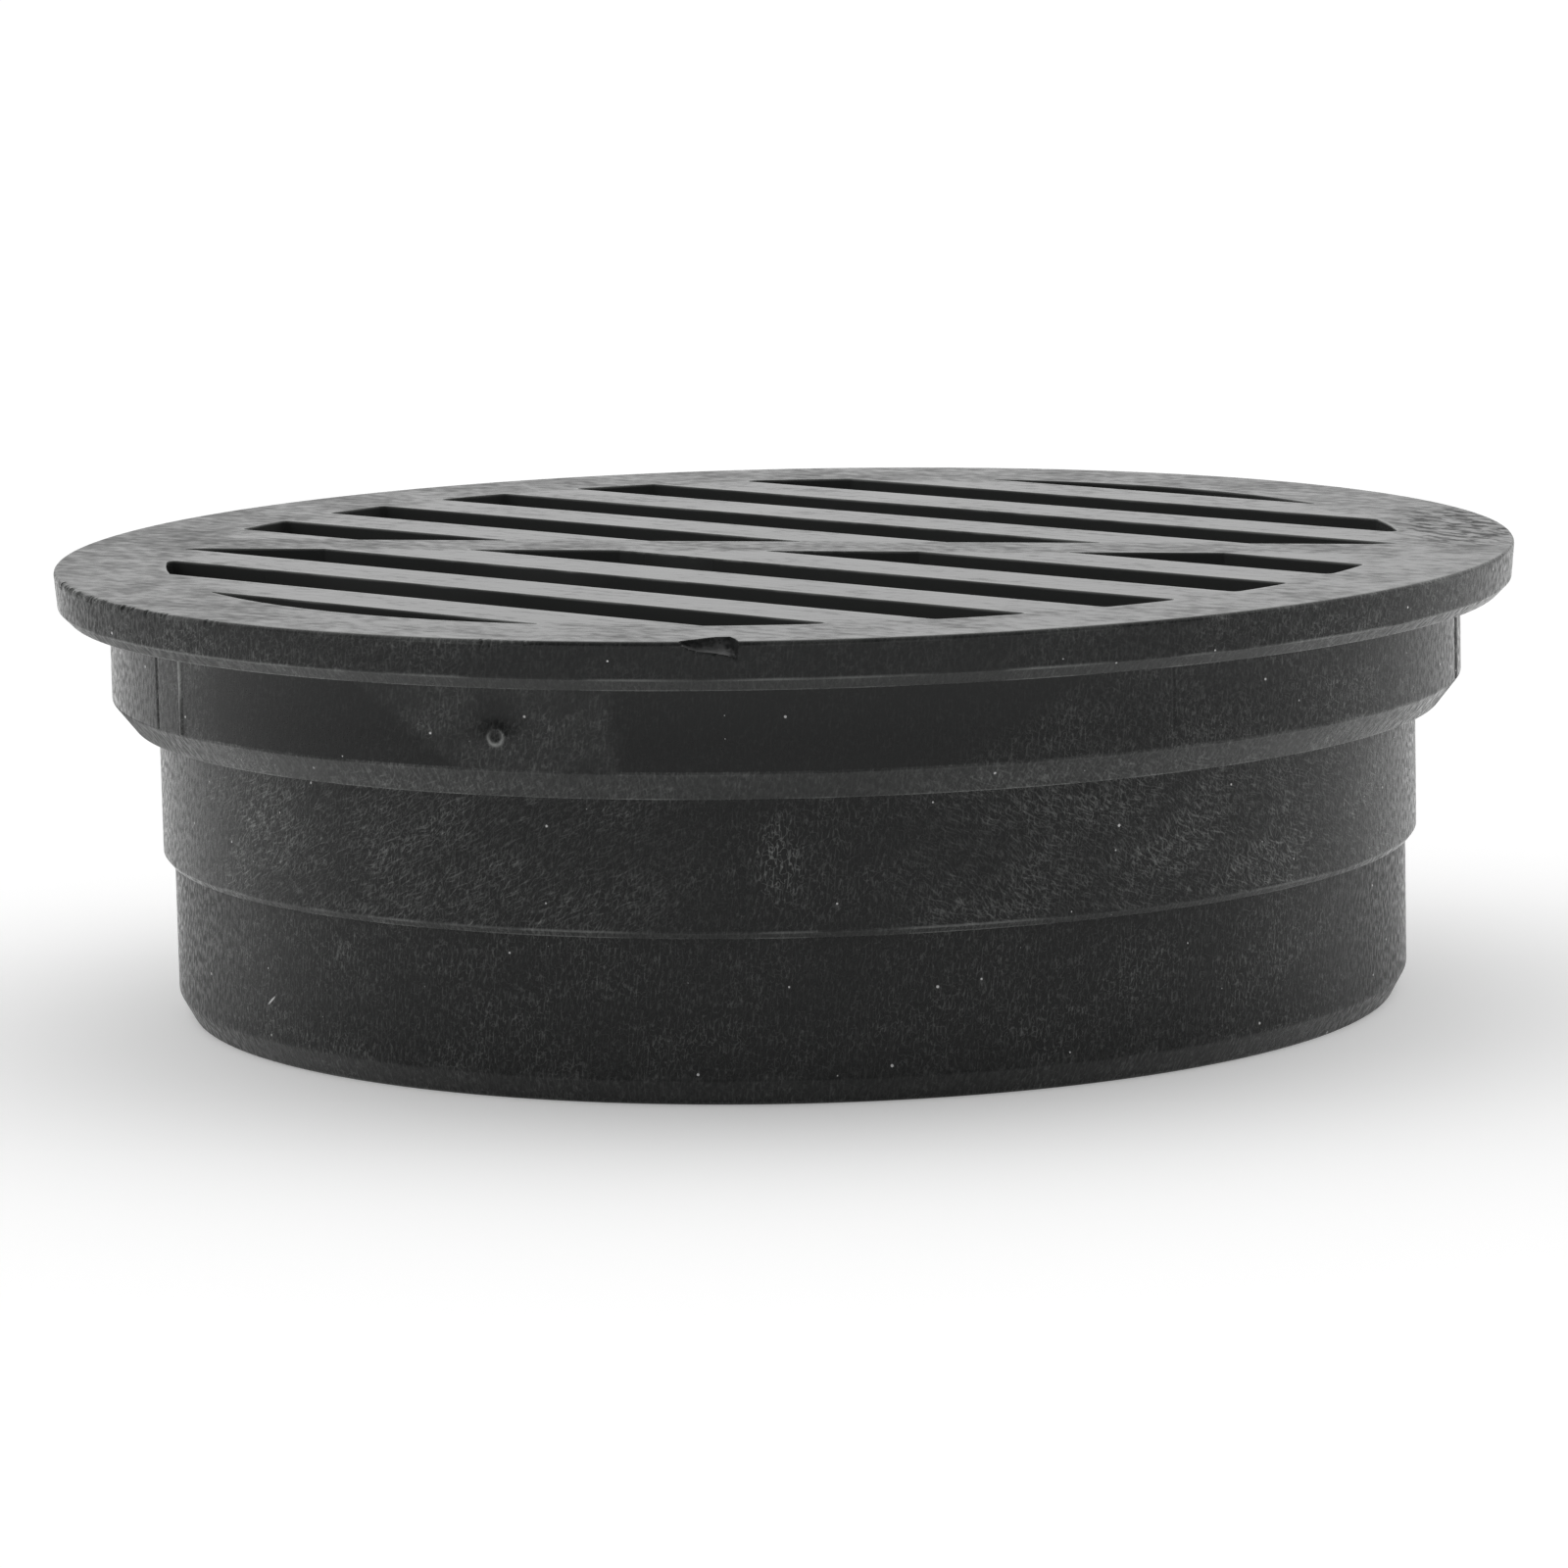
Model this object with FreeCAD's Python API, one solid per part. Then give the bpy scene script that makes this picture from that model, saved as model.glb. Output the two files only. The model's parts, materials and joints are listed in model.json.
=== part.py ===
import FreeCAD, Part
import math
import os

# Round push-in drain grate, moulded in one piece of black plastic: a flat disc with slanted slots,
# a flange that rests on the pipe's mouth, and a hollow spigot that steps in through three collars.
# Lengths are in millimetres and angles in degrees. Z is the axis, with the foot at z = 0, and the
# slots run along X.

# Collars of the spigot, from the foot up. Each larger one ends below in a chamfer and a flat ledge.
small_spigot_diameter = 100.0
foot_bevel_inset = 1.15
foot_bevel_height = 2.1
small_spigot_height = 10.85
spigot_step = 0.9
spigot_chamfer_inset = 0.4
spigot_chamfer_height = 0.5
large_spigot_height = 10.4
shoulder = 3.7
shoulder_chamfer_inset = 1.7
shoulder_chamfer_height = 2.15
hub_collar_height = 6.7
wall = 2.6

# Flange round the disc
flange_overhang = 4.4
flange_thickness = 3.8
flange_draft_angle = 5.0
flange_edge_chamfer = 0.9
rim_edge_radius = 0.3

# Slotted disc and the straight bar across it
deck_thickness = 5.0
slot_width = 6.4
slot_pitch = 12.4
slots_each_side = 4
slot_end_margin = 2.1
slot_corner_radius = 0.5
bar_width = 6.3
bar_angle = 30.0

# Scar in the rim where the moulding gate broke away, shallower towards one end
gate_scar_angle = -52.6
gate_scar_width = 4.4
gate_scar_inset = 2.6
gate_scar_drop = 1.3
gate_scar_shallow_end = 0.35

# Radii, each collar standing out from the one below it
small_spigot_radius = small_spigot_diameter / 2
large_spigot_radius = small_spigot_radius + spigot_step
hub_collar_radius = large_spigot_radius + shoulder
rim_radius = hub_collar_radius + flange_overhang
slot_circle_radius = hub_collar_radius - wall - slot_end_margin

# Heights above the foot
small_spigot_top = foot_bevel_height + small_spigot_height
large_spigot_bottom = small_spigot_top + spigot_chamfer_height
large_spigot_top = large_spigot_bottom + large_spigot_height
hub_collar_bottom = large_spigot_top + shoulder_chamfer_height
flange_bottom = hub_collar_bottom + hub_collar_height
top = flange_bottom + flange_thickness
deck_bottom = top - deck_thickness

# How far the cutting shapes run past the faces that they cut
overcut = deck_thickness / 10

origin = FreeCAD.Vector(0, 0, 0)
z_axis = FreeCAD.Vector(0, 0, 1)


def section_point(radius, height):
    """A point of the half section, which lies in the XZ plane."""
    return FreeCAD.Vector(radius, 0, height)


def closed_face(points):
    """The flat face inside a polygon."""
    return Part.Face(Part.makePolygon(points + points[:1]))


def circle_edge(shape, radius, height):
    """The round edge of this radius at this height."""
    for edge in shape.Edges:
        if isinstance(edge.Curve, Part.Circle):
            centre = edge.Curve.Center
            if abs(edge.Curve.Radius - radius) < 0.001 and abs(centre.z - height) < 0.001:
                return edge
    raise ValueError("no round edge of radius %.3f at height %.3f" % (radius, height))


def outer_section():
    """Outside of the half section, from the foot up to the rim."""
    draft = (flange_thickness - flange_edge_chamfer) * math.tan(math.radians(flange_draft_angle))
    return [
        section_point(small_spigot_radius - foot_bevel_inset, 0),
        section_point(small_spigot_radius, foot_bevel_height),
        section_point(small_spigot_radius, small_spigot_top),
        section_point(large_spigot_radius - spigot_chamfer_inset, small_spigot_top),
        section_point(large_spigot_radius, large_spigot_bottom),
        section_point(large_spigot_radius, large_spigot_top),
        section_point(hub_collar_radius - shoulder_chamfer_inset, large_spigot_top),
        section_point(hub_collar_radius, hub_collar_bottom),
        section_point(hub_collar_radius, flange_bottom),
        section_point(rim_radius - draft - flange_edge_chamfer, flange_bottom),
        section_point(rim_radius - draft, flange_bottom + flange_edge_chamfer),
        section_point(rim_radius, top),
    ]


def inner_section():
    """Disc and hollow of the half section, from the axis out and down to the foot."""
    inside_shoulder = large_spigot_top + wall
    inside_step = small_spigot_top + wall
    return [
        section_point(0, top),
        section_point(0, deck_bottom),
        section_point(hub_collar_radius - wall, deck_bottom),
        section_point(hub_collar_radius - wall, inside_shoulder),
        section_point(large_spigot_radius - wall, inside_shoulder),
        section_point(large_spigot_radius - wall, inside_step),
        section_point(small_spigot_radius - wall, inside_step),
        section_point(small_spigot_radius - wall, 0),
    ]


def turned_body():
    """Disc, flange and spigot as one turned shell, before the slots are cut."""
    body = closed_face(outer_section() + inner_section()).revolve(origin, z_axis, 360)
    return body.makeFillet(rim_edge_radius, [circle_edge(body, rim_radius, top)])


def is_open_corner(point):
    """Whether a point is a corner on the slot circle with room for its rounding beside the bar."""
    turn = math.radians(bar_angle)
    from_bar = abs(point.y * math.cos(turn) - point.x * math.sin(turn)) - bar_width / 2
    on_circle = abs(math.hypot(point.x, point.y) - slot_circle_radius) < 0.001
    return on_circle and from_bar > 2 * slot_corner_radius


def with_round_ends(slot):
    """The slot with its upright edges on the slot circle rounded."""
    corners = []
    for edge in slot.Edges:
        ends = [vertex.Point for vertex in edge.Vertexes]
        upright = abs(ends[0].z - ends[-1].z) > deck_thickness
        if upright and is_open_corner(ends[0]):
            corners.append(edge)
    return slot.makeFillet(slot_corner_radius, corners)


def slots():
    """Parallel slots that end on the slot circle and break where the bar crosses the disc."""
    bottom = deck_bottom - overcut
    height = deck_thickness + 2 * overcut
    circle = Part.makeCylinder(slot_circle_radius, height, FreeCAD.Vector(0, 0, bottom))
    # The cylinder's seam is turned into the bar, where no slot reaches it
    circle.rotate(origin, z_axis, bar_angle)
    bar_corner = FreeCAD.Vector(-rim_radius, -bar_width / 2, bottom)
    bar = Part.makeBox(2 * rim_radius, bar_width, height, bar_corner)
    bar.rotate(origin, z_axis, bar_angle)
    cutters = []
    for number in range(-slots_each_side, slots_each_side + 1):
        middle = number * slot_pitch
        strip_corner = FreeCAD.Vector(-rim_radius, middle - slot_width / 2, bottom)
        strip = Part.makeBox(2 * rim_radius, slot_width, height, strip_corner)
        whole_width = abs(middle) + slot_width / 2 < slot_circle_radius
        for slot in strip.common(circle).cut(bar).Solids:
            # The tiny corner left beyond the bar stays solid
            if slot.BoundBox.XLength > slot_width:
                cutters.append(with_round_ends(slot) if whole_width else slot)
    return cutters


def scar_section(share, along):
    """Triangle cut from the rim's edge at one end of the scar, with this share of its full depth."""
    inset = gate_scar_inset * share
    slope = gate_scar_drop / gate_scar_inset
    inner = rim_radius - inset - overcut
    outer = rim_radius + overcut
    above = top + overcut * slope
    below = top - (inset + overcut) * slope
    return Part.makePolygon([
        FreeCAD.Vector(inner, along, above),
        FreeCAD.Vector(outer, along, above),
        FreeCAD.Vector(outer, along, below),
        FreeCAD.Vector(inner, along, above),
    ])


def gate_scar():
    """Wedge that the broken gate tore from the rim's top edge."""
    shallow_end = scar_section(gate_scar_shallow_end, -gate_scar_width / 2)
    deep_end = scar_section(1, gate_scar_width / 2)
    wedge = Part.makeLoft([shallow_end, deep_end], True, True)
    wedge.rotate(origin, z_axis, gate_scar_angle)
    return wedge


drain_grate = turned_body().cut(slots() + [gate_scar()]).Solids[0]

os.makedirs("parts", exist_ok=True)
drain_grate.exportStep("parts/drain_grate.step")
print("drain_grate valid", drain_grate.isValid(), "volume mm3", round(drain_grate.Volume, 1))
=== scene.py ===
import json
import math

import bpy
import numpy as np
from mathutils import Euler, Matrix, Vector
from mathutils.geometry import delaunay_2d_cdt
from mathutils.noise import noise


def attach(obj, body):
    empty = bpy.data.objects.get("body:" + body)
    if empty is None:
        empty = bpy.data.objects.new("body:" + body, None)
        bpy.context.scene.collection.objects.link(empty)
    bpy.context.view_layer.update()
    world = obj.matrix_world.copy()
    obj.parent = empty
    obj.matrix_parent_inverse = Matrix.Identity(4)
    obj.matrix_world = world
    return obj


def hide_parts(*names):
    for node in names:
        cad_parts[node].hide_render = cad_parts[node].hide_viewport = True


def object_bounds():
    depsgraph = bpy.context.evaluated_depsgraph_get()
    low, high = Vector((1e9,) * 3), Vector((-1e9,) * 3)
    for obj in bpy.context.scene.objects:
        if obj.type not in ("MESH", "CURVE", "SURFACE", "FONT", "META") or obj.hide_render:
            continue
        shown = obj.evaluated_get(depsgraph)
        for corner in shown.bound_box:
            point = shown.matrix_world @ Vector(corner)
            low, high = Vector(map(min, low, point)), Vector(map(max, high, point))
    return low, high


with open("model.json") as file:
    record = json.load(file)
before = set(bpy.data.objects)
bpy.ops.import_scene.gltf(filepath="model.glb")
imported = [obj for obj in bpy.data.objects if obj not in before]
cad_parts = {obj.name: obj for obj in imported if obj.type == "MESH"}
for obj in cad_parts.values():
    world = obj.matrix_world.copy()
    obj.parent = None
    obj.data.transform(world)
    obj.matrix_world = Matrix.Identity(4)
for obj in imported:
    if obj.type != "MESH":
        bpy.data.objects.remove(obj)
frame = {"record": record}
cad_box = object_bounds()

# Turned form of the grate
# The whole grate is one injection moulding in black plastic, with a flat disc, the flange that rests
# on the pipe's mouth and a hollow spigot that steps in through three collars. All its edges are soft.
mm = 0.001
mounts = {mount["name"]: mount for mount in frame["record"]["mounts"]}


def collar(name):
    """Radius, lower end and upper end of one of the spigot's collars."""
    middle = mounts[name]["pos_m"][2]
    half = mounts[name]["dims"]["length_mm"] * mm / 2
    return mounts[name]["dims"]["r_mm"] * mm, middle - half, middle + half


small_radius, foot_bevel_top, small_top = collar("small_spigot")
large_radius, large_bottom, large_top = collar("large_spigot")
hub_radius, hub_bottom, flange_bottom = collar("hub_collar")
top = cad_box[1].z
foot_bevel_inset = 1.15 * mm
spigot_chamfer_inset = 0.4 * mm
shoulder_chamfer_inset = 1.7 * mm
wall = 2.6 * mm
flange_overhang = 4.38 * mm
flange_chamfer = 0.9 * mm
flange_draft_angle = math.radians(5)
rim_radius = hub_radius + flange_overhang
flange_side = top - flange_bottom - flange_chamfer
flange_draft = flange_side * math.tan(flange_draft_angle)
deck_thickness = 5.0 * mm
deck_bottom = top - deck_thickness
deck_ring_radius = 50.5 * mm

# Roundings of the edges, each an arc of a few steps with a held point beside it
crisp_edge = 0.1 * mm
soft_edge = 0.3 * mm
bevel_edge = 0.8 * mm
inside_corner = 0.4 * mm
arc_steps = 3
arc_hold = 0.12 * mm

# Rows of points, closer where the scar, the nicks and the mould marks lie
scar_rows_in = 3.0 * mm
scar_rows_down = 1.6 * mm
scar_row_spacing = 0.2 * mm
edge_margin = 0.6 * mm
pin_height = 28.6 * mm
pin_reach = 1.0 * mm
pin_row_spacing = 0.15 * mm
collar_row_spacing = 0.45 * mm


def spaced(start, end, spacing):
    """Evenly spaced values from start to end, about this far apart."""
    return list(np.linspace(start, end, max(2, round(abs(end - start) / spacing) + 1)))


def rounded(corners, closed):
    """Outline through corners (x, y, radius), as points (x, y, worn), worn on its sharp outward bends,
    where edges are pale partly from wear and partly as a painted highlight.
    """
    outline = []
    for number, (x, y, radius) in enumerate(corners):
        here = Vector((x, y))
        if radius == 0 or (not closed and number in (0, len(corners) - 1)):
            outline.append((x, y, 0))
            continue
        back = (Vector(corners[number - 1][:2]) - here).normalized()
        ahead = (Vector(corners[(number + 1) % len(corners)][:2]) - here).normalized()
        half = back.angle(ahead) / 2
        reach = radius / math.tan(half)
        centre = here + (back + ahead).normalized() * (radius / math.sin(half))
        first = here + back * reach - centre
        last = here + ahead * reach - centre
        worn = crisp_edge / radius if back.cross(ahead) > 0 else 0
        outline.append((*(here + back * (reach + arc_hold)), 0))
        for step in range(arc_steps + 1):
            spoke = first.slerp(last, step / arc_steps).normalized() * radius
            outline.append((*(centre + spoke), worn))
        outline.append((*(here + ahead * (reach + arc_hold)), 0))
    return outline


rim_rows = spaced(rim_radius - scar_rows_in, rim_radius - edge_margin, scar_row_spacing)
side_rows = spaced(edge_margin, scar_rows_down, scar_row_spacing)
collar_rows = spaced(flange_bottom - 2 * inside_corner, pin_height + pin_reach, collar_row_spacing)
collar_rows += spaced(pin_height + pin_reach, pin_height - pin_reach, pin_row_spacing)[1:-1]
collar_rows += spaced(pin_height - pin_reach, hub_bottom + edge_margin, collar_row_spacing)
half_section = rounded(
    [(deck_ring_radius, top, 0)]
    + [(radius, top, 0) for radius in rim_rows]
    + [(rim_radius, top, soft_edge)]
    + [(rim_radius - flange_draft * drop / flange_side, top - drop, 0) for drop in side_rows]
    + [
        (rim_radius - flange_draft, flange_bottom + flange_chamfer, crisp_edge),
        (rim_radius - flange_draft - flange_chamfer, flange_bottom, crisp_edge),
        (hub_radius, flange_bottom, inside_corner),
    ]
    + [(hub_radius, height, 0) for height in collar_rows]
    + [
        (hub_radius, hub_bottom, soft_edge),
        (hub_radius - shoulder_chamfer_inset, large_top, crisp_edge),
        (large_radius, large_top, inside_corner),
        (large_radius, large_bottom, crisp_edge),
        (large_radius - spigot_chamfer_inset, small_top, crisp_edge),
        (small_radius, small_top, crisp_edge),
        (small_radius, foot_bevel_top, bevel_edge),
        (small_radius - foot_bevel_inset, 0, soft_edge),
        (small_radius - wall, 0, crisp_edge),
        (small_radius - wall, small_top + wall, 0),
        (large_radius - wall, small_top + wall, 0),
        (large_radius - wall, large_top + wall, 0),
        (hub_radius - wall, large_top + wall, 0),
        (hub_radius - wall, deck_bottom, 0),
        (deck_ring_radius, deck_bottom, 0),
    ],
    closed=False,
)

# Scar, nicks and mould marks
# The gate broke out of the rim's edge and left a torn hollow, and knocks have nibbled the edge beside
# it. The top collar carries the fine upright lines of the mould's joints and the ring of a pin.
front = math.radians(-47.1)


def beside_front(degrees):
    """Direction this many degrees round from the front."""
    return front + math.radians(degrees)


# Scar: how far in and down it reaches in millimetres, from its left end at 0 to its right end at 1
scar_angle = beside_front(-5.55)
scar_width = 4.4 * mm
scar_inset_stops = ((0, 0), (0.04, 0.6), (0.31, 1.65), (0.56, 2.65), (0.82, 2.6), (0.92, 1.6), (1, 0))
scar_drop_stops = ((0, 0), (0.12, 0.46), (0.27, 0.71), (0.65, 0.92), (0.84, 1.1), (0.97, 1.37), (1, 0))
scar_hollow = 0.18 * mm
scar_roughness = 0.08 * mm
scar_grains_along = 14
scar_grains_across = 5
scar_dullness = -1.0
scar_column_spacing = 0.08 * mm

# Nicks, as (direction, half width, depth)
nicks = (
    (beside_front(-20.4), 2.2 * mm, 0.3 * mm),
    (beside_front(-47.6), 1.2 * mm, 0.35 * mm),
    (beside_front(-65.0), 12.0 * mm, 0.4 * mm),
)
nick_reach = 0.55 * mm
nick_grains = (1.4 * mm, 0.4 * mm)
nick_seed = 3
nick_column_spacing = 0.14 * mm

# Lines of the mould's joints, as (direction, rise, width)
mould_lines = (
    (beside_front(-64.0), -0.10 * mm, 0.18 * mm),
    (beside_front(-59.3), 0.14 * mm, 0.20 * mm),
    (beside_front(-13.2), -0.03 * mm, 0.14 * mm),
    (beside_front(32.0), -0.05 * mm, 0.14 * mm),
    (beside_front(78.0), -0.45 * mm, 0.50 * mm),
)
line_wander = 0.05 * mm
line_wander_length = 1.0 * mm
line_seed = 9
line_reach_in_widths = 2.2
line_columns_per_width = 2.5

# Ring of the pin and the shallow dimple above it
pin_angle = beside_front(-23.5)
pin_ring_radius = 0.6 * mm
pin_ring_width = 0.16 * mm
pin_ring_rise = 0.12 * mm
pin_dimple_above = 1.7 * mm
pin_dimple_width = 2.4 * mm
pin_dimple_height = 1.4 * mm
pin_dimple_depth = 0.2 * mm
pin_column_spacing = 0.12 * mm

# Marks that stand out this far are fully pale, a painted highlight along their crests, and columns are
# spread evenly where nothing is marked
full_glint_rise = 0.04 * mm
same_radius = 1e-6
plain_columns = 270


def along_stops(place, stops):
    """Value in millimetres at a place along straight runs between stops, as metres."""
    return float(np.interp(place, [stop[0] for stop in stops], [stop[1] for stop in stops])) * mm


def torn(angle, radius, height):
    """A point of the rim, moved onto the scar where the gate tore it away, and its dullness there."""
    place = (angle - scar_angle) * rim_radius / scar_width + 0.5
    if not 0 < place < 1:
        return radius, height, 0
    inset = along_stops(place, scar_inset_stops)
    drop = along_stops(place, scar_drop_stops)
    past_edge = (top - height) - (rim_radius - radius)
    if not -inset < past_edge < drop:
        return radius, height, 0
    share = (past_edge + inset) / (inset + drop)
    grain = noise(Vector((place * scar_grains_along, share * scar_grains_across, 0))) * scar_roughness
    sunk = (scar_hollow + grain) * math.sin(math.pi * share)
    dullness = scar_dullness * (1 - share / 2)
    return rim_radius - inset * (1 - share) - sunk, top - drop * share - sunk, dullness


def nicked(angle, radius, height):
    """A point of the rim's edge, pushed in where knocks have nibbled it."""
    past_edge = abs((top - height) - (rim_radius - radius))
    for nick_angle, half_width, depth in nicks:
        offset = (angle - nick_angle) * rim_radius
        if abs(offset) < half_width and past_edge < nick_reach:
            ragged = sum(noise(Vector((offset / grain, nick_seed, 0))) for grain in nick_grains)
            bite = depth * max(0, ragged) * (1 - past_edge / nick_reach)
            return radius - bite, height - bite
    return radius, height


def marked(angle, height):
    """How far the mould's lines and the pin's ring stand out from the top collar."""
    rise = 0
    for line_angle, line_rise, line_width in mould_lines:
        wander = line_wander * noise(Vector((line_angle * line_seed, height / line_wander_length, 0)))
        offset = (angle - line_angle) * hub_radius + wander
        rise += line_rise * math.exp(-(offset / line_width) ** 2)
    across = (angle - pin_angle) * hub_radius
    from_pin = math.hypot(across, height - pin_height)
    rise += pin_ring_rise * math.exp(-((from_pin - pin_ring_radius) / pin_ring_width) ** 2)
    above = height - pin_height - pin_dimple_above
    from_dimple = math.hypot(across / pin_dimple_width, above / pin_dimple_height)
    return rise - pin_dimple_depth * math.exp(-from_dimple ** 2)


def skin_point(angle, radius, height, worn):
    """Place of a point of the turned form, with the scar, the nicks and the marks in it, and its paleness
    from being worn and from a painted highlight on raised marks.
    """
    if height > flange_bottom + flange_chamfer and radius > deck_ring_radius:
        radius, height, torn_wear = torn(angle, radius, height)
        radius, height = nicked(angle, radius, height)
        worn = torn_wear or worn
    elif math.isclose(radius, hub_radius, rel_tol=same_radius):
        rise = marked(angle, height)
        radius += rise
        worn = max(worn, rise / full_glint_rise)
    return (radius * math.cos(angle), radius * math.sin(angle), height), worn


def column_angles():
    """Directions of the mesh's columns, close together where the moulding has small marks."""
    close = [(scar_angle, scar_width / 2, scar_column_spacing, rim_radius)]
    for angle, half_width, _ in nicks:
        close.append((angle, half_width, nick_column_spacing, rim_radius))
    for angle, _, width in mould_lines:
        close.append((angle, line_reach_in_widths * width, width / line_columns_per_width, hub_radius))
    close.append((pin_angle, pin_dimple_width, pin_column_spacing, hub_radius))
    angles = list(np.linspace(front - math.pi, front + math.pi, plain_columns, endpoint=False))
    for middle, half_width, spacing, radius in close:
        angles = [angle for angle in angles if abs(angle - middle) * radius > half_width + spacing]
        angles += [middle + step / radius for step in spaced(-half_width, half_width, spacing)]
    return sorted(angles)


# Slots of the disc
# Parallel slots run across the disc along X, end on one circle inside the collar, and break where a
# straight bar crosses them. Their long edges are slightly rounded by the mould.
slot_width = 6.4 * mm
slot_pitch = 12.4 * mm
slot_circle_radius = 49.9 * mm
slot_rows = range(-3, 2)
sliver_row = -4
bar_width = 6.3 * mm
bar_angle = math.radians(30)
slot_end_radius = 0.5 * mm
slot_tip_radius = 0.12 * mm
slot_edge = 0.1 * mm
# The slots' top edges are pale, partly from wear and partly as a painted highlight, fading out over this
# reach
slot_wear_and_glint_reach = 0.45 * mm
full_wear_and_glint = 1
rubbed_wear_and_glint = 0.5
slot_end_points = 5
sliver_arc_points = 13


def slot_outline(row, grow):
    """Slot on the right of the bar, grown all round by a margin, as points (x, y) anticlockwise."""
    low = row * slot_pitch - slot_width / 2 - grow
    high = row * slot_pitch + slot_width / 2 + grow
    circle = slot_circle_radius + grow
    half_bar = bar_width / 2 - grow

    def end(y):
        """Right end of the slot at this y, on the circle."""
        return math.sqrt(circle ** 2 - y ** 2)

    def start(y):
        """Left end of the slot at this y, on the bar or on the circle."""
        return max((y * math.cos(bar_angle) + half_bar) / math.sin(bar_angle), -end(y))

    between = np.linspace(low, high, slot_end_points)[1:-1]
    on_circle = slot_end_radius + grow
    at_start = on_circle if row == slot_rows[0] else slot_tip_radius + grow
    corners = [(start(low), low, at_start), (end(low), low, on_circle)]
    corners += [(end(y), y, 0) for y in between]
    corners += [(end(high), high, on_circle), (start(high), high, at_start)]
    corners += [(start(y), y, 0) for y in reversed(between)]
    return [point[:2] for point in rounded(corners, closed=True)]


def sliver_outline(grow):
    """Narrow end slot between a straight edge and the circle, grown all round by a margin."""
    high = sliver_row * slot_pitch + slot_width / 2 + grow
    circle = slot_circle_radius + grow
    last = math.asin(high / circle)
    arc = np.linspace(-math.pi - last, last, sliver_arc_points)
    corners = [(circle * math.cos(angle), circle * math.sin(angle), 0) for angle in arc]
    corners[0] = (*corners[0][:2], slot_tip_radius + grow)
    corners[-1] = (*corners[-1][:2], slot_tip_radius + grow)
    return [point[:2] for point in rounded(corners, closed=True)]


def slot_rings(outline_of):
    """Rings of a slot's wall from the top face down to the underside, as (outline, height, worn)."""
    upper, lower = [], []
    for step in range(arc_steps + 1):
        bend = math.radians(90) * step / arc_steps
        outline = outline_of(slot_edge * (1 - math.sin(bend)))
        drop = slot_edge * (1 - math.cos(bend))
        upper.append((outline, top - drop, full_wear_and_glint))
        lower.insert(0, (outline, deck_bottom + drop, 0))
    # A ring this far out starts the pale band along the top edge, partly wear and partly a painted
    # highlight
    rubbed = outline_of(slot_edge + slot_wear_and_glint_reach)
    around = outline_of(slot_edge + arc_hold)
    straight = outline_of(0)
    wall_inset = slot_edge + arc_hold
    upright = [(straight, top - wall_inset, 0), (straight, deck_bottom + wall_inset, 0)]
    face = [(rubbed, top, 0), (around, top, rubbed_wear_and_glint)]
    return face + upper + upright + lower + [(around, deck_bottom, 0)]


def half_turned(outline_of):
    """The same outline turned half round the axis, for the slot on the other side of the bar."""
    return lambda grow: [(-x, -y) for x, y in outline_of(grow)]


slot_outlines = [lambda grow, row=row: slot_outline(row, grow) for row in slot_rows] + [sliver_outline]
slot_outlines += [half_turned(outline_of) for outline_of in slot_outlines]

# Mesh of the moulding
# The grate came out of its mould in one shot, with no seam between disc, flange and spigot. So the
# turned skin, the slot walls and the two faces of the disc are sewn into one closed surface.
sharp_bend = math.radians(35)
inside_loops = 1
same_point = 1e-9
vertices = []
wear = []
faces = []
columns = column_angles()
rows = len(half_section)
for angle in columns:
    for radius, height, worn in half_section:
        place, worn_here = skin_point(angle, radius, height, worn)
        vertices.append(place)
        wear.append(worn_here)
for column in range(len(columns)):
    here = column * rows
    beside = (column + 1) % len(columns) * rows
    for row in range(rows - 1):
        faces.append((here + row, here + row + 1, beside + row + 1, beside + row))

upper_face = [column * rows for column in range(len(columns))]
lower_face = [column * rows + rows - 1 for column in range(len(columns))]
loops = [range(len(columns))]
for outline_of in slot_outlines:
    rings = slot_rings(outline_of)
    count = len(rings[0][0])
    first = len(vertices)
    for outline, height, worn in rings:
        vertices += [(x, y, height) for x, y in outline]
        wear += [worn] * count
    for ring in range(len(rings) - 1):
        for number in range(count):
            here = first + ring * count + number
            beside = first + ring * count + (number + 1) % count
            faces.append((here, beside, beside + count, here + count))
    loops.append(range(len(upper_face), len(upper_face) + count))
    upper_face += range(first, first + count)
    lower_face += range(first + (len(rings) - 1) * count, first + len(rings) * count)

plan = [Vector(vertices[number][:2]) for number in upper_face]
filled = delaunay_2d_cdt(plan, [], [list(loop) for loop in loops], inside_loops, same_point)
_, _, triangles, _, _, loops_around = filled
# A triangle inside the first loop alone lies on the disc, and the others lie in a slot
for triangle, around in zip(triangles, loops_around):
    if around == [0]:
        faces.append([upper_face[corner] for corner in triangle])
        faces.append([lower_face[corner] for corner in reversed(triangle)])

moulding_mesh = bpy.data.meshes.new("grate_moulding")
moulding_mesh.from_pydata(vertices, [], faces)
moulding_mesh.shade_smooth()
moulding_mesh.set_sharp_from_angle(angle=sharp_bend)
wear_layer = moulding_mesh.attributes.new("wear", "FLOAT", "POINT")
wear_layer.data.foreach_set("value", np.array(wear, np.float32))
moulding = bpy.data.objects.new("grate_moulding", moulding_mesh)
bpy.context.scene.collection.objects.link(moulding)

# Scuffed walls
# The sides of the moulding are black polyolefin with a satin skin. Handling has left pale hair-fine
# scuffs and fibres on the collars and a little dust. The edges are pale, partly from wear and partly as a
# painted highlight, and downward faces, inner faces and the hub's top carry painted light. Sizes in it
# are millimetres.
black = (0.0048, 0.0054, 0.0053, 1)
pale = (0.40, 0.41, 0.40, 1)
wall_gloss = 0.23
relief_depth = 0.02
relief_strength = 0.7
torn_roughness = 0.8
noise_middle = 0.5
wall_skin = bpy.data.materials.new("black_plastic_walls")
wall_skin.use_nodes = True


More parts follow.
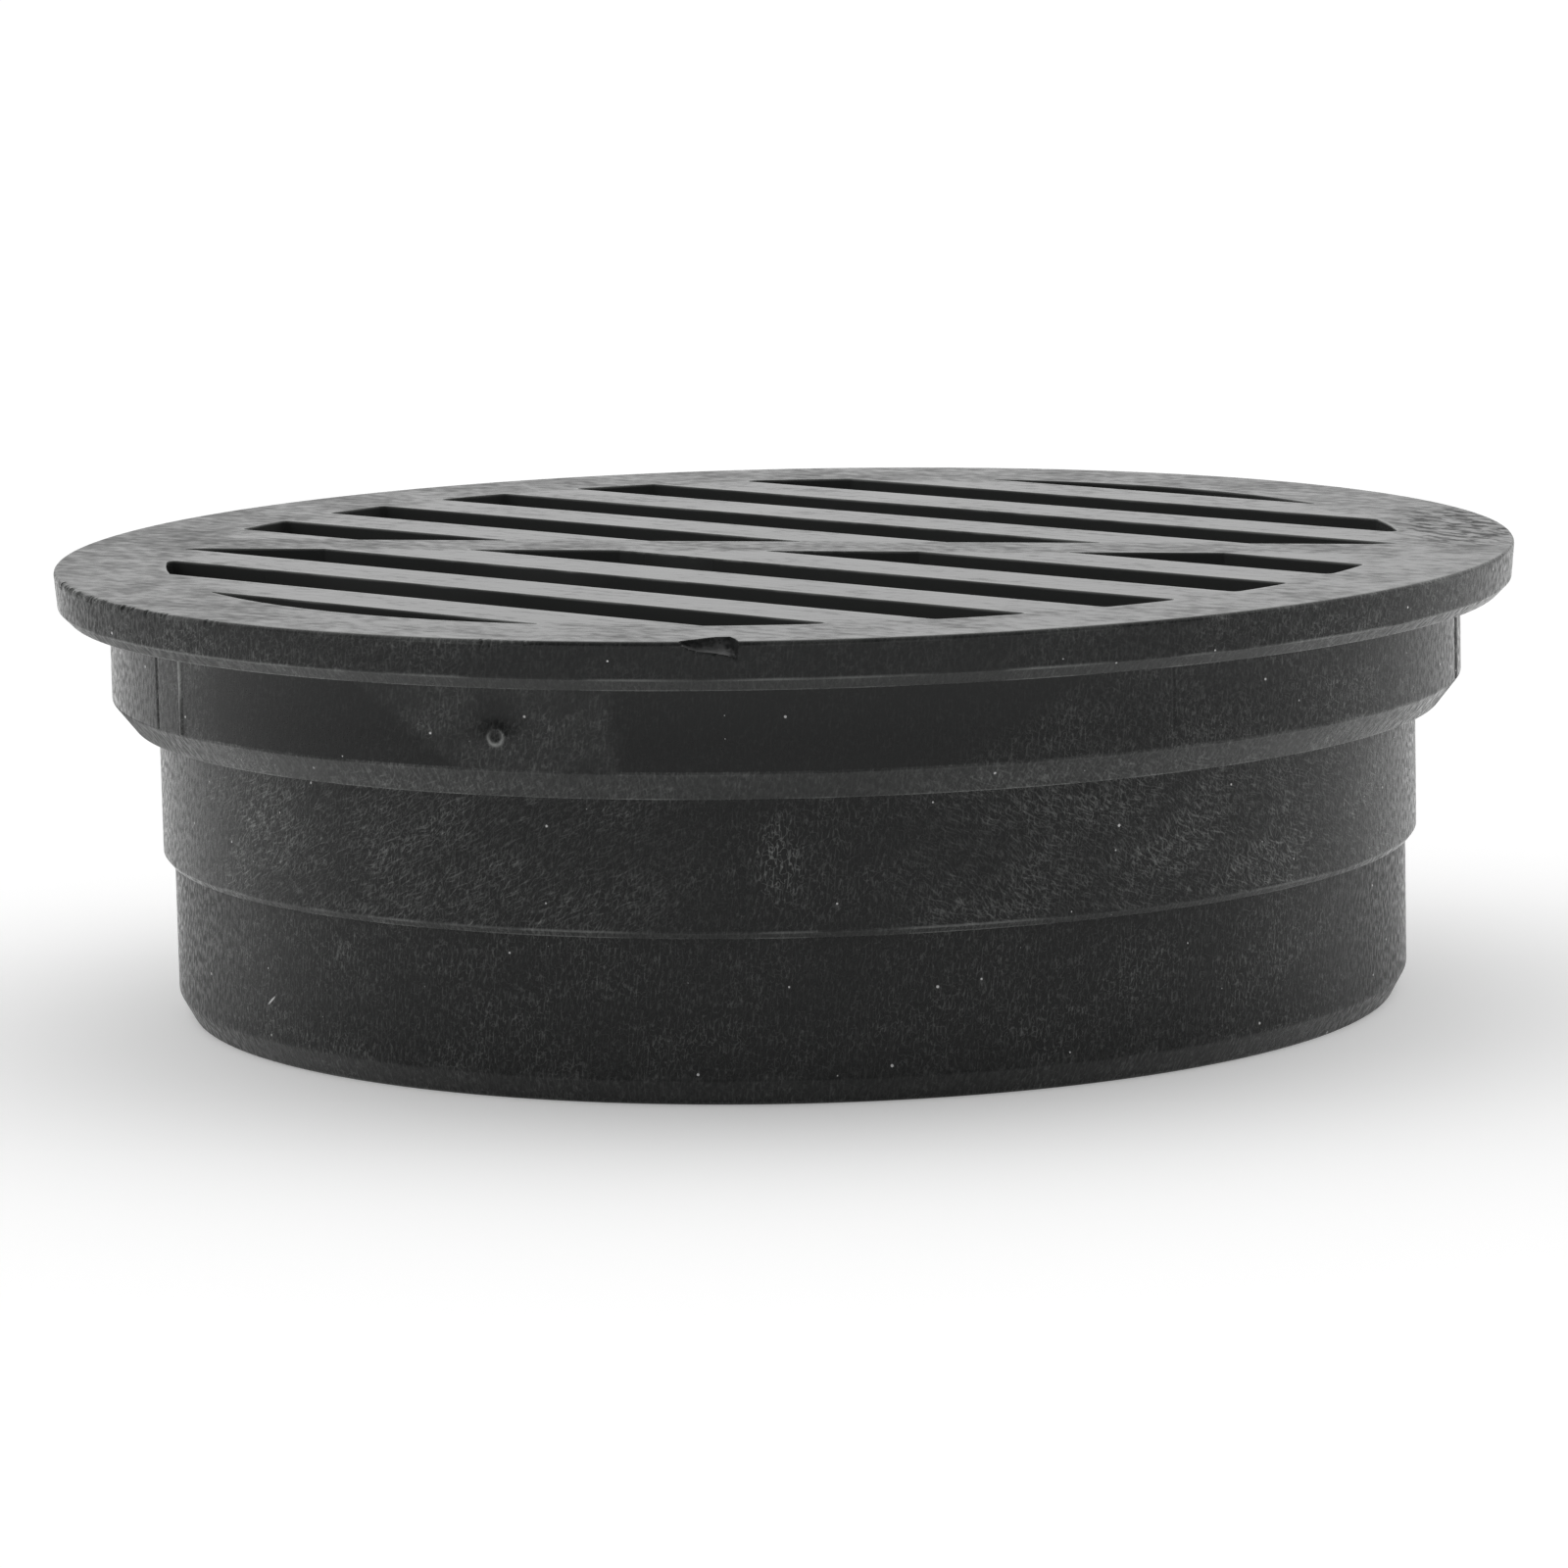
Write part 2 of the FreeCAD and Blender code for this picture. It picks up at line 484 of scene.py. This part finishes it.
def node_adder(tree):
    """A function that adds one node, with its inputs in order and its settings, and gives its outputs."""
    def add(kind, *inputs, **settings):
        node = tree.nodes.new("ShaderNode" + kind)
        for name, setting in settings.items():
            setattr(node, name, setting)
        for socket, value in zip(node.inputs, inputs):
            if isinstance(value, bpy.types.NodeSocket):
                tree.links.new(value, socket)
            elif value is not None:
                socket.default_value = value
        return node.outputs
    return add


# The functions that follow add to the material that this was made for last
add = node_adder(wall_skin.node_tree)


def ramp(value, low, high, at_low=0.0, at_high=1.0):
    """The value carried from one range to another and held at its ends."""
    return add("MapRange", value, low, high, at_low, at_high)[0]


def by_share(share, at_none, at_full):
    """Value that goes from one to another as a share goes from 0 to 1."""
    return ramp(share, 0.0, 1.0, at_none, at_full)


def math_of(operation, *values):
    """Result of one sum on values, from the left."""
    result = values[0]
    for value in values[1:] or (None,):
        result = add("Math", result, value, operation=operation)[0]
    return result


def times(*values):
    """Product of values."""
    return math_of("MULTIPLY", *values)


def plus(*values):
    """Sum of values."""
    return math_of("ADD", *values)


def within(value, middle, half):
    """1 where a value lies this near to a middle, and 0 beyond."""
    return add("Math", value, middle, half, operation="COMPARE")[0]


def blend(share, first, second):
    """Colour between two colours. The inputs that lie between are for numbers and vectors."""
    unused = [None] * 5
    return add("Mix", share, *unused, first, second, data_type="RGBA")[2]


def length_of(vector):
    """Length of a vector."""
    return add("VectorMath", vector, operation="LENGTH")["Value"]


def turned_back(vector, angle):
    """A vector turned back by an angle about the axis."""
    return add("VectorRotate", vector, (0, 0, 0), (0, 0, 1), -angle, rotation_type="Z_AXIS")[0]


def laid_out(place, centre, angle, size):
    """Place measured from a centre along and across an angle, in units of a size."""
    turn = (0, 0, math.radians(angle))
    return add("Mapping", place, (*centre, 0), turn, (*size, 1), vector_type="TEXTURE")[0]


def streaks(place, seed, angle, length, width, detail=1.0):
    """Noise drawn out along an angle, about this long and this wide."""
    drawn_out = laid_out(place, (seed, seed), angle, (length, width))
    return add("TexNoise", drawn_out, None, 1.0, detail, noise_dimensions="2D")[0]


def strokes(place, levels, **streak):
    """Separate strokes, where streaks rise from the lower level to the upper one."""
    return ramp(streaks(place, **streak), *levels)


def centred(streak_noise):
    """Noise moved so that its middle is at 0."""
    return plus(streak_noise, -noise_middle)


def spot(place, centre, reach, soft, angle=0):
    """A soft oval patch, 1 in the middle and 0 beyond its reach, turned by an angle."""
    return ramp(length_of(laid_out(place, centre, angle, reach)), 1 - soft, 1.0, 1.0, 0.0)


def place_on_part():
    """Place of the shaded point in the part's frame, and turned so that the front is along X."""
    on_part = add("VectorMath", add("TexCoord")["Object"], [1 / mm] * 3, operation="MULTIPLY")[0]
    return on_part, turned_back(on_part, front)


def wear_and_glint_of_point():
    """Share of the shaded point that is worn and painted with a highlight, up to 1 on a pale edge and
    below 0 where the skin is torn.
    """
    return add("Attribute", attribute_name="wear")["Fac"]


def finish_skin(skin, gloss, colour, roughness, relief, worn_and_glinting_edge):
    """Gives a plastic skin its gloss, colour, roughness and fine relief, rougher where it is torn."""
    shader = skin.node_tree.nodes["Principled BSDF"]
    shader.inputs["Specular IOR Level"].default_value = gloss
    normal = add("Bump", relief_strength, relief_depth * mm, None, relief)[0]
    dulled = plus(roughness, ramp(worn_and_glinting_edge, scar_dullness, 0, torn_roughness, 0))
    for name, value in (("Base Color", colour), ("Roughness", dulled), ("Normal", normal)):
        skin.node_tree.links.new(value, shader.inputs[name])


# Places on the walls, with bearings in radians from the front
shoulder_heights = (24, 27)
inside_radii = (48.45, 52.4)
hub_middle = 29.4
hub_half_height = 3.2
flange_heights = (32.6, 32.8)
end_bearings = (0.8, 1.3)
back_bearings = (1.6, 2.2)
downward_slopes = (-0.3, -0.6)
ahead, sideways, height = add("SeparateXYZ", place_on_part()[1])
bearing = math_of("ARCTAN2", sideways, ahead)
off_front = math_of("ABSOLUTE", bearing)
along = times(bearing, large_radius / mm)
on_wall = add("CombineXYZ", along, height)[0]
from_axis = length_of(add("CombineXYZ", ahead, sideways)[0])
outside = math_of("GREATER_THAN", from_axis, ramp(height, *shoulder_heights, *inside_radii))
on_hub = within(height, hub_middle, hub_half_height)
on_flange = ramp(height, *flange_heights)
at_ends = times(ramp(off_front, *end_bearings), ramp(off_front, *back_bearings, 1.0, 0.0))
facing_down = ramp(add("SeparateXYZ", add("NewGeometry")["Normal"])["Z"], *downward_slopes)
worn_and_glinting_edge = wear_and_glint_of_point()
patchy = streaks(on_wall, seed=59, angle=20, length=9, width=5, detail=2.0)

# Pale film about the pin, and the smooth patches that it leaves on the top collar
film_height = 29.5
film_left = (-29.3, -27.5)
film_left_slant = 1.42
film_right = (-12.8, -11.2)
film_raggedness = 5
film_patches = (0.3, 0.6)
film_thinnest = 0.5
bare_by_pin = (0.0, 0.8)
rough_left_end = (-50, -47)
rough_right_end = (16, 19)
rough_right_slant = -1.6
above_middle = plus(height, -film_height)
ragged_along = plus(along, times(film_raggedness, centred(patchy)))
by_pin = spot(on_wall, centre=(-20.9, 30.4), reach=(2.9, 2.7), soft=1.0)
film = times(
    ramp(plus(along, times(film_left_slant, above_middle)), *film_left),
    ramp(ragged_along, *film_right, 1.0, 0.0),
    ramp(by_pin, *bare_by_pin, 1.0, 0.0),
    ramp(patchy, *film_patches, film_thinnest, 1.0),
)
on_left_end = ramp(along, *rough_left_end, 1.0, 0.0)
on_right_end = ramp(plus(along, times(rough_right_slant, above_middle)), *rough_right_end)
smooth = times(on_hub, by_share(plus(film, on_left_end, on_right_end), 1.0, 0.0))

# Satin mottling, calmer on those patches and on the front of the flange, livelier at the sides
calm_bearings = (0.25, 0.8)
flange_calm = 0.7
calm_mottle = 0.2
end_mottle = 1.35
calm_flange = times(on_flange, ramp(off_front, *calm_bearings, flange_calm, 0.0))
mottle_share = by_share(plus(smooth, calm_flange), 1.0, calm_mottle)
mottle = times(
    centred(streaks(on_wall, seed=71, angle=80, length=0.7, width=0.35)),
    outside, mottle_share, by_share(at_ends, 1.0, end_mottle),
)

# Scuffs: slanted ones that lean out from the front on the large collar, upright ones and fibres
right_side_shift = 61
slant_waviness = 2
slant_bearings = (0.1, 0.25)
collar_foot = large_bottom / mm
collar_head = hub_bottom / mm
foot_softness = 0.2
head_softness = 1.0
head_share = 0.3
fibre_width = 0.035
upright_share = 0.6
fibre_share = 0.7
scuff_patches = (0.38, 0.68)
scuff_thinnest = 0.45
rubbed_spot_gain = 2.0
scuff_bearings = (0.1, 0.9)
scuff_gains = (0.6, 1.1)
on_right = math_of("GREATER_THAN", bearing, 0.0)
fanned_out = plus(times(off_front, -large_radius / mm), times(on_right, right_side_shift))
on_fan = add("CombineXYZ", fanned_out, plus(height, times(slant_waviness, patchy)))[0]
on_large_collar = times(
    ramp(height, collar_foot - foot_softness, collar_foot + foot_softness),
    ramp(height, collar_head, collar_head - head_softness, head_share, 1.0),
    ramp(off_front, *slant_bearings),
)
flat_slants = strokes(
    on_fan, levels=(0.56, 0.78), seed=3, angle=22, length=1.4, width=0.16, detail=2.0,
)
steep_slants = strokes(
    on_fan, levels=(0.57, 0.77), seed=83, angle=50, length=0.9, width=0.14, detail=2.0,
)
slanted = times(plus(flat_slants, steep_slants), on_large_collar)
upright = strokes(on_wall, levels=(0.56, 0.76), seed=31, angle=84, length=0.9, width=0.16)
fibre_noise = streaks(on_wall, seed=47, angle=70, length=0.7, width=0.5)
fibres = ramp(math_of("ABSOLUTE", centred(fibre_noise)), 0.0, fibre_width, 1.0, 0.0)
rubbed_spot = spot(on_wall, centre=(-0.9, 19.0), reach=(2.2, 4.0), soft=0.7)
scuffs = times(
    plus(slanted, times(upright_share, upright), times(fibre_share, fibres)),
    plus(ramp(patchy, *scuff_patches, scuff_thinnest, 1.0), times(rubbed_spot_gain, rubbed_spot)),
    ramp(off_front, *scuff_bearings, *scuff_gains),
    mottle_share,
    outside,
)

# Dust: scattered specks and one thread of lint
dust_colour = (0.7, 0.7, 0.7, 1)
specks_per_mm = 0.27
speck_chances = (0.75, 1.0)
largest_speck = 0.032
speck_cells = add("TexVoronoi", on_wall, None, specks_per_mm, voronoi_dimensions="2D")
speck_chance = add("SeparateXYZ", speck_cells["Color"])["X"]
speck_size = times(ramp(speck_chance, *speck_chances, 0.0, largest_speck), outside)
specks = math_of("LESS_THAN", speck_cells["Distance"], speck_size)
lint = spot(on_wall, centre=(-48.2, 5.3), reach=(0.75, 0.1), soft=0.3, angle=35)
dust = math_of("MAXIMUM", specks, lint)

# How pale the walls are
scuff_paleness = (0.36, 0.55)
mottle_levels = (-0.05, 0.25)
mottle_paleness = 0.04
underside_painted_floor_light = 0.085
edge_patches = (0.40, 0.62)
edge_wear_and_glint_paleness = (0.03, 0.3)
film_paleness = 0.04
inside_painted_light = 0.1
hub_fade_heights = (28.5, 33.0)
hub_top_painted_light = 0.03
calm_flange_paleness = 0.015
wall_paleness = plus(
    times(scuffs, by_share(at_ends, *scuff_paleness)),
    ramp(mottle, *mottle_levels, 0.0, mottle_paleness),
    # Downward faces are paler: painted light reflected up from the floor
    times(underside_painted_floor_light, facing_down),
    # Edges and raised marks are paler: partly wear, partly a painted highlight
    times(worn_and_glinting_edge, ramp(patchy, *edge_patches, *edge_wear_and_glint_paleness)),
    times(film_paleness, on_hub, film),
    # Inner faces, the slot walls among them, are paler: painted stray light in the hollows
    by_share(outside, inside_painted_light, 0.0),
    # The top of the hub grows paler towards the flange: painted light reflected from the floor under it
    times(on_hub, ramp(height, *hub_fade_heights, 0.0, hub_top_painted_light)),
    times(calm_flange_paleness, calm_flange),
)

# How dull the walls are, with worn places partway round the shoulder, lowest collar and flange
satin_levels = (-0.15, 0.15)
satin_roughness = (0.12, 0.40)
scuff_roughness = (0.15, 0.25)
smooth_roughness = -0.05
shoulder_middle = 24.9
shoulder_half_height = 1.2
shoulder_left_bearings = (-0.95, -1.3)
shoulder_left_dullness = 0.3
shoulder_right_bearings = (1.25, 1.35)
shoulder_right_dullness = 0.25
small_collar_top = small_top / mm
small_collar_from = (0.85, 1.15)
small_collar_to = (1.3, 1.5)
small_collar_dullness = 0.13
flange_left_from = (-0.65, -0.9)
flange_left_to = (-1.15, -1.4)
flange_left_dullness = 0.22
on_shoulder = within(height, shoulder_middle, shoulder_half_height)
on_small_collar = ramp(height, small_collar_top, small_collar_top - foot_softness)
on_shoulder_ends = plus(
    ramp(bearing, *shoulder_left_bearings, 0.0, shoulder_left_dullness),
    ramp(bearing, *shoulder_right_bearings, 0.0, shoulder_right_dullness),
)
on_small_collar_sides = times(
    ramp(off_front, *small_collar_from, 0.0, small_collar_dullness),
    ramp(off_front, *small_collar_to, 1.0, 0.0),
)
on_flange_left = times(
    ramp(bearing, *flange_left_from, 0.0, flange_left_dullness),
    ramp(bearing, *flange_left_to, 1.0, 0.0),
)
wall_roughness = plus(
    ramp(mottle, *satin_levels, *satin_roughness),
    times(scuffs, by_share(at_ends, *scuff_roughness)),
    times(smooth_roughness, smooth),
    times(on_shoulder, on_shoulder_ends),
    times(on_small_collar, on_small_collar_sides),
    times(on_flange, on_flange_left),
)
wall_colour = blend(dust, blend(wall_paleness, black, pale), dust_colour)
finish_skin(wall_skin, wall_gloss, wall_colour, wall_roughness, mottle, worn_and_glinting_edge)

# Brushed disc
# The disc's top is the same black plastic, rubbed paler and brighter by handling. Fine brush marks run
# along the slats, and a soft mottling and a few long scratches lie over them.
disc_gloss = 0.3
disc_skin = bpy.data.materials.new("black_plastic_disc")
disc_skin.use_nodes = True
add = node_adder(disc_skin.node_tree)

# Places on the disc: the slats, the bar, the rim's front edge and the worn patches
bar_side = bar_width / mm / 2
slat_end = slot_circle_radius / mm
slat_softness = 1
slat_end_softness = 3
rim_edge = rim_radius / mm
front_edge_insets = (2.6, 0.6)
front_reach = (10, 45)
on_disc, turned_to_front = place_on_part()
ahead, sideways, _ = add("SeparateXYZ", turned_to_front)
on_plan = add("CombineXYZ", ahead, sideways)[0]
from_axis = length_of(on_plan)
off_bar = math_of("ABSOLUTE", add("SeparateXYZ", turned_back(on_disc, bar_angle))["Y"])
on_slats = times(
    ramp(off_bar, bar_side, bar_side + slat_softness),
    ramp(from_axis, slat_end - slat_end_softness, slat_end, 1.0, 0.0),
)
front_edge = times(
    ramp(from_axis, *[rim_edge - inset for inset in front_edge_insets]), ramp(ahead, *front_reach),
)
rub_mark = spot(on_plan, centre=(-28.5, 0.2), reach=(32, 6), soft=0.8, angle=121.6)
swirl = times(
    spot(on_plan, centre=(49, -11), reach=(3.5, 9), soft=0.5),
    strokes(turned_to_front, levels=(0.5, 0.6), seed=17, angle=75, length=3.0, width=0.4),
)
pitted = times(
    spot(on_plan, centre=(-4, 55.5), reach=(18, 7), soft=0.5),
    strokes(
        turned_to_front, levels=(0.48, 0.58), seed=13, angle=30, length=2.5, width=0.8, detail=2.0,
    ),
)
worn_and_glinting_edge = wear_and_glint_of_point()

# Grain, brush marks, scratches and broad rubbed patches
bar_brush_share = 0.4
grain = streaks(on_disc, seed=5, angle=0, length=1.6, width=0.9, detail=3.0)
brushed = streaks(on_disc, seed=7, angle=0, length=14.0, width=0.8)
brush_lines = times(centred(brushed), by_share(on_slats, bar_brush_share, 1.0))
scratched = strokes(on_disc, levels=(0.60, 0.80), seed=9, angle=24, length=9.0, width=0.5)
rubbed = streaks(on_disc, seed=11, angle=20, length=7, width=5, detail=2.0)

# How pale the disc is
brush_levels = (-0.2, 0.2)
brush_paleness = 0.06
scratch_paleness = 0.1
disc_edge_wear_and_glint = 0.35
pale_levels = (0.4, 0.7)
rubbed_paleness = 0.05
slat_paleness = 0.04
rub_mark_paleness = 0.16
swirl_paleness = 0.05
front_edge_paleness = 0.10
disc_paleness = plus(
    ramp(brush_lines, *brush_levels, 0.0, brush_paleness),
    times(scratch_paleness, scratched),
    # Slot edges are paler: partly wear, partly a painted highlight
    times(disc_edge_wear_and_glint, worn_and_glinting_edge),
    ramp(rubbed, *pale_levels, 0.0, rubbed_paleness),
    times(slat_paleness, on_slats),
    times(rub_mark_paleness, rub_mark),
    times(swirl_paleness, swirl),
    times(front_edge_paleness, front_edge),
)

# How dull the disc is, duller at the back, on the left and on the bar
noise_range = (0.3, 0.7)
rubbed_roughness = (0.27, 0.14)
brush_roughness = 0.07
grain_roughness = 0.11
back_reach = (-50, 10)
back_dullness = 0.07
left_reach = (-48, -30)
left_dullness = 0.07
bar_softness = 1.2
bar_dullness = 0.05
slat_roughness = -0.14
pit_roughness = 0.35
rub_mark_roughness = -0.1
swirl_roughness = 0.16
disc_roughness = plus(
    ramp(rubbed, *noise_range, *rubbed_roughness),
    ramp(brush_lines, *brush_levels, brush_roughness, -brush_roughness),
    ramp(grain, *noise_range, -grain_roughness, grain_roughness),
    ramp(ahead, *back_reach, back_dullness, 0.0),
    ramp(sideways, *left_reach, left_dullness, 0.0),
    ramp(off_bar, bar_side - bar_softness, bar_side, bar_dullness, 0.0),
    times(slat_roughness, on_slats),
    times(pit_roughness, pitted),
    times(rub_mark_roughness, rub_mark),
    times(swirl_roughness, swirl),
)
disc_colour = blend(disc_paleness, black, pale)
finish_skin(disc_skin, disc_gloss, disc_colour, disc_roughness, grain, worn_and_glinting_edge)

# Every face that looks up takes the disc's skin, and the rest the walls'
least_upward = 0.8
moulding_mesh.materials.append(wall_skin)
moulding_mesh.materials.append(disc_skin)
for polygon in moulding_mesh.polygons:
    polygon.material_index = int(polygon.normal.z > least_upward)

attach(moulding, "root")
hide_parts("drain_grate")

# Floor
# A plain floor in matt pale paint lies under the grate's foot. It carries the grate's soft shadow,
# lights its walls from below, and glows a little so that it looks white.
floor_reach = 12.0
floor_colour = (0.85, 0.85, 0.85, 1)
floor_glow = 0.25
floor_corners = [(x * floor_reach, y * floor_reach, 0) for x, y in ((-1, -1), (1, -1), (1, 1), (-1, 1))]
floor_mesh = bpy.data.meshes.new("floor")
floor_mesh.from_pydata(floor_corners, [], [(0, 1, 2, 3)])
floor = bpy.data.objects.new("floor", floor_mesh)
bpy.context.scene.collection.objects.link(floor)
paint = bpy.data.materials.new("pale_floor")
paint.use_nodes = True
paint.cycles.emission_sampling = "NONE"
add = node_adder(paint.node_tree)
ray = add("LightPath")
seen = plus(ray["Is Camera Ray"], ray["Is Glossy Ray"], ray["Is Transmission Ray"])
glow = add("Emission", (1, 1, 1, 1), by_share(seen, 0, floor_glow))[0]
painted = add("AddShader", add("BsdfDiffuse", floor_colour)[0], glow)[0]
paint.node_tree.links.new(painted, paint.node_tree.nodes["Material Output"].inputs["Surface"])
floor_mesh.materials.append(paint)

# Studio light
# A white light tent surrounds the grate. It is brightest overhead, weaker at the horizon, and open
# and dark on the viewer's side.
tent_heights = (0.0, 0.6)
tent_levels = (0.64, 1.35)
open_side = (-0.1, 0.6)
open_side_level = 0.2
world = bpy.data.worlds.new("studio")
world.use_nodes = True
background = world.node_tree.nodes["Background"]
add = node_adder(world.node_tree)
direction = add("TexCoord")["Generated"]
viewer = (math.cos(front), math.sin(front), 0)
towards_viewer = add("VectorMath", direction, viewer, operation="DOT_PRODUCT")["Value"]
tent = ramp(add("SeparateXYZ", direction)["Z"], *tent_heights, *tent_levels)
brightness = times(tent, ramp(towards_viewer, *open_side, 1.0, open_side_level))
world.node_tree.links.new(brightness, background.inputs["Strength"])
background.inputs["Color"].default_value = (1, 1, 1, 1)
world.cycles.sampling_method = "NONE"
bpy.context.scene.world = world

# Camera
# It stands in front of the grate and a little above the disc, tilted slightly to one side. It is as
# far off as ten rim radii, and the rim's centre lies above the middle of its view.
camera_heading = math.radians(42.9)
camera_elevation = math.radians(8.585)
camera_roll = math.radians(-1.283)
rim_centre_in_view = Vector((-0.0007, 0.3271, -10)) * rim_radius
camera_data = bpy.data.cameras.new("camera")
camera_data.sensor_width = 36
camera_data.lens = 167.02
camera_data.clip_end = 100
camera = bpy.data.objects.new("camera", camera_data)
bpy.context.scene.collection.objects.link(camera)
turn = (
    Euler((0, 0, camera_heading)).to_matrix()
    @ Euler((math.radians(90) - camera_elevation, 0, 0)).to_matrix()
    @ Euler((0, 0, camera_roll)).to_matrix()
)
camera.rotation_euler = turn.to_euler()
camera.location = Vector((0, 0, top)) - turn @ rim_centre_in_view
bpy.context.scene.camera = camera
bpy.context.scene.view_settings.view_transform = "Standard"
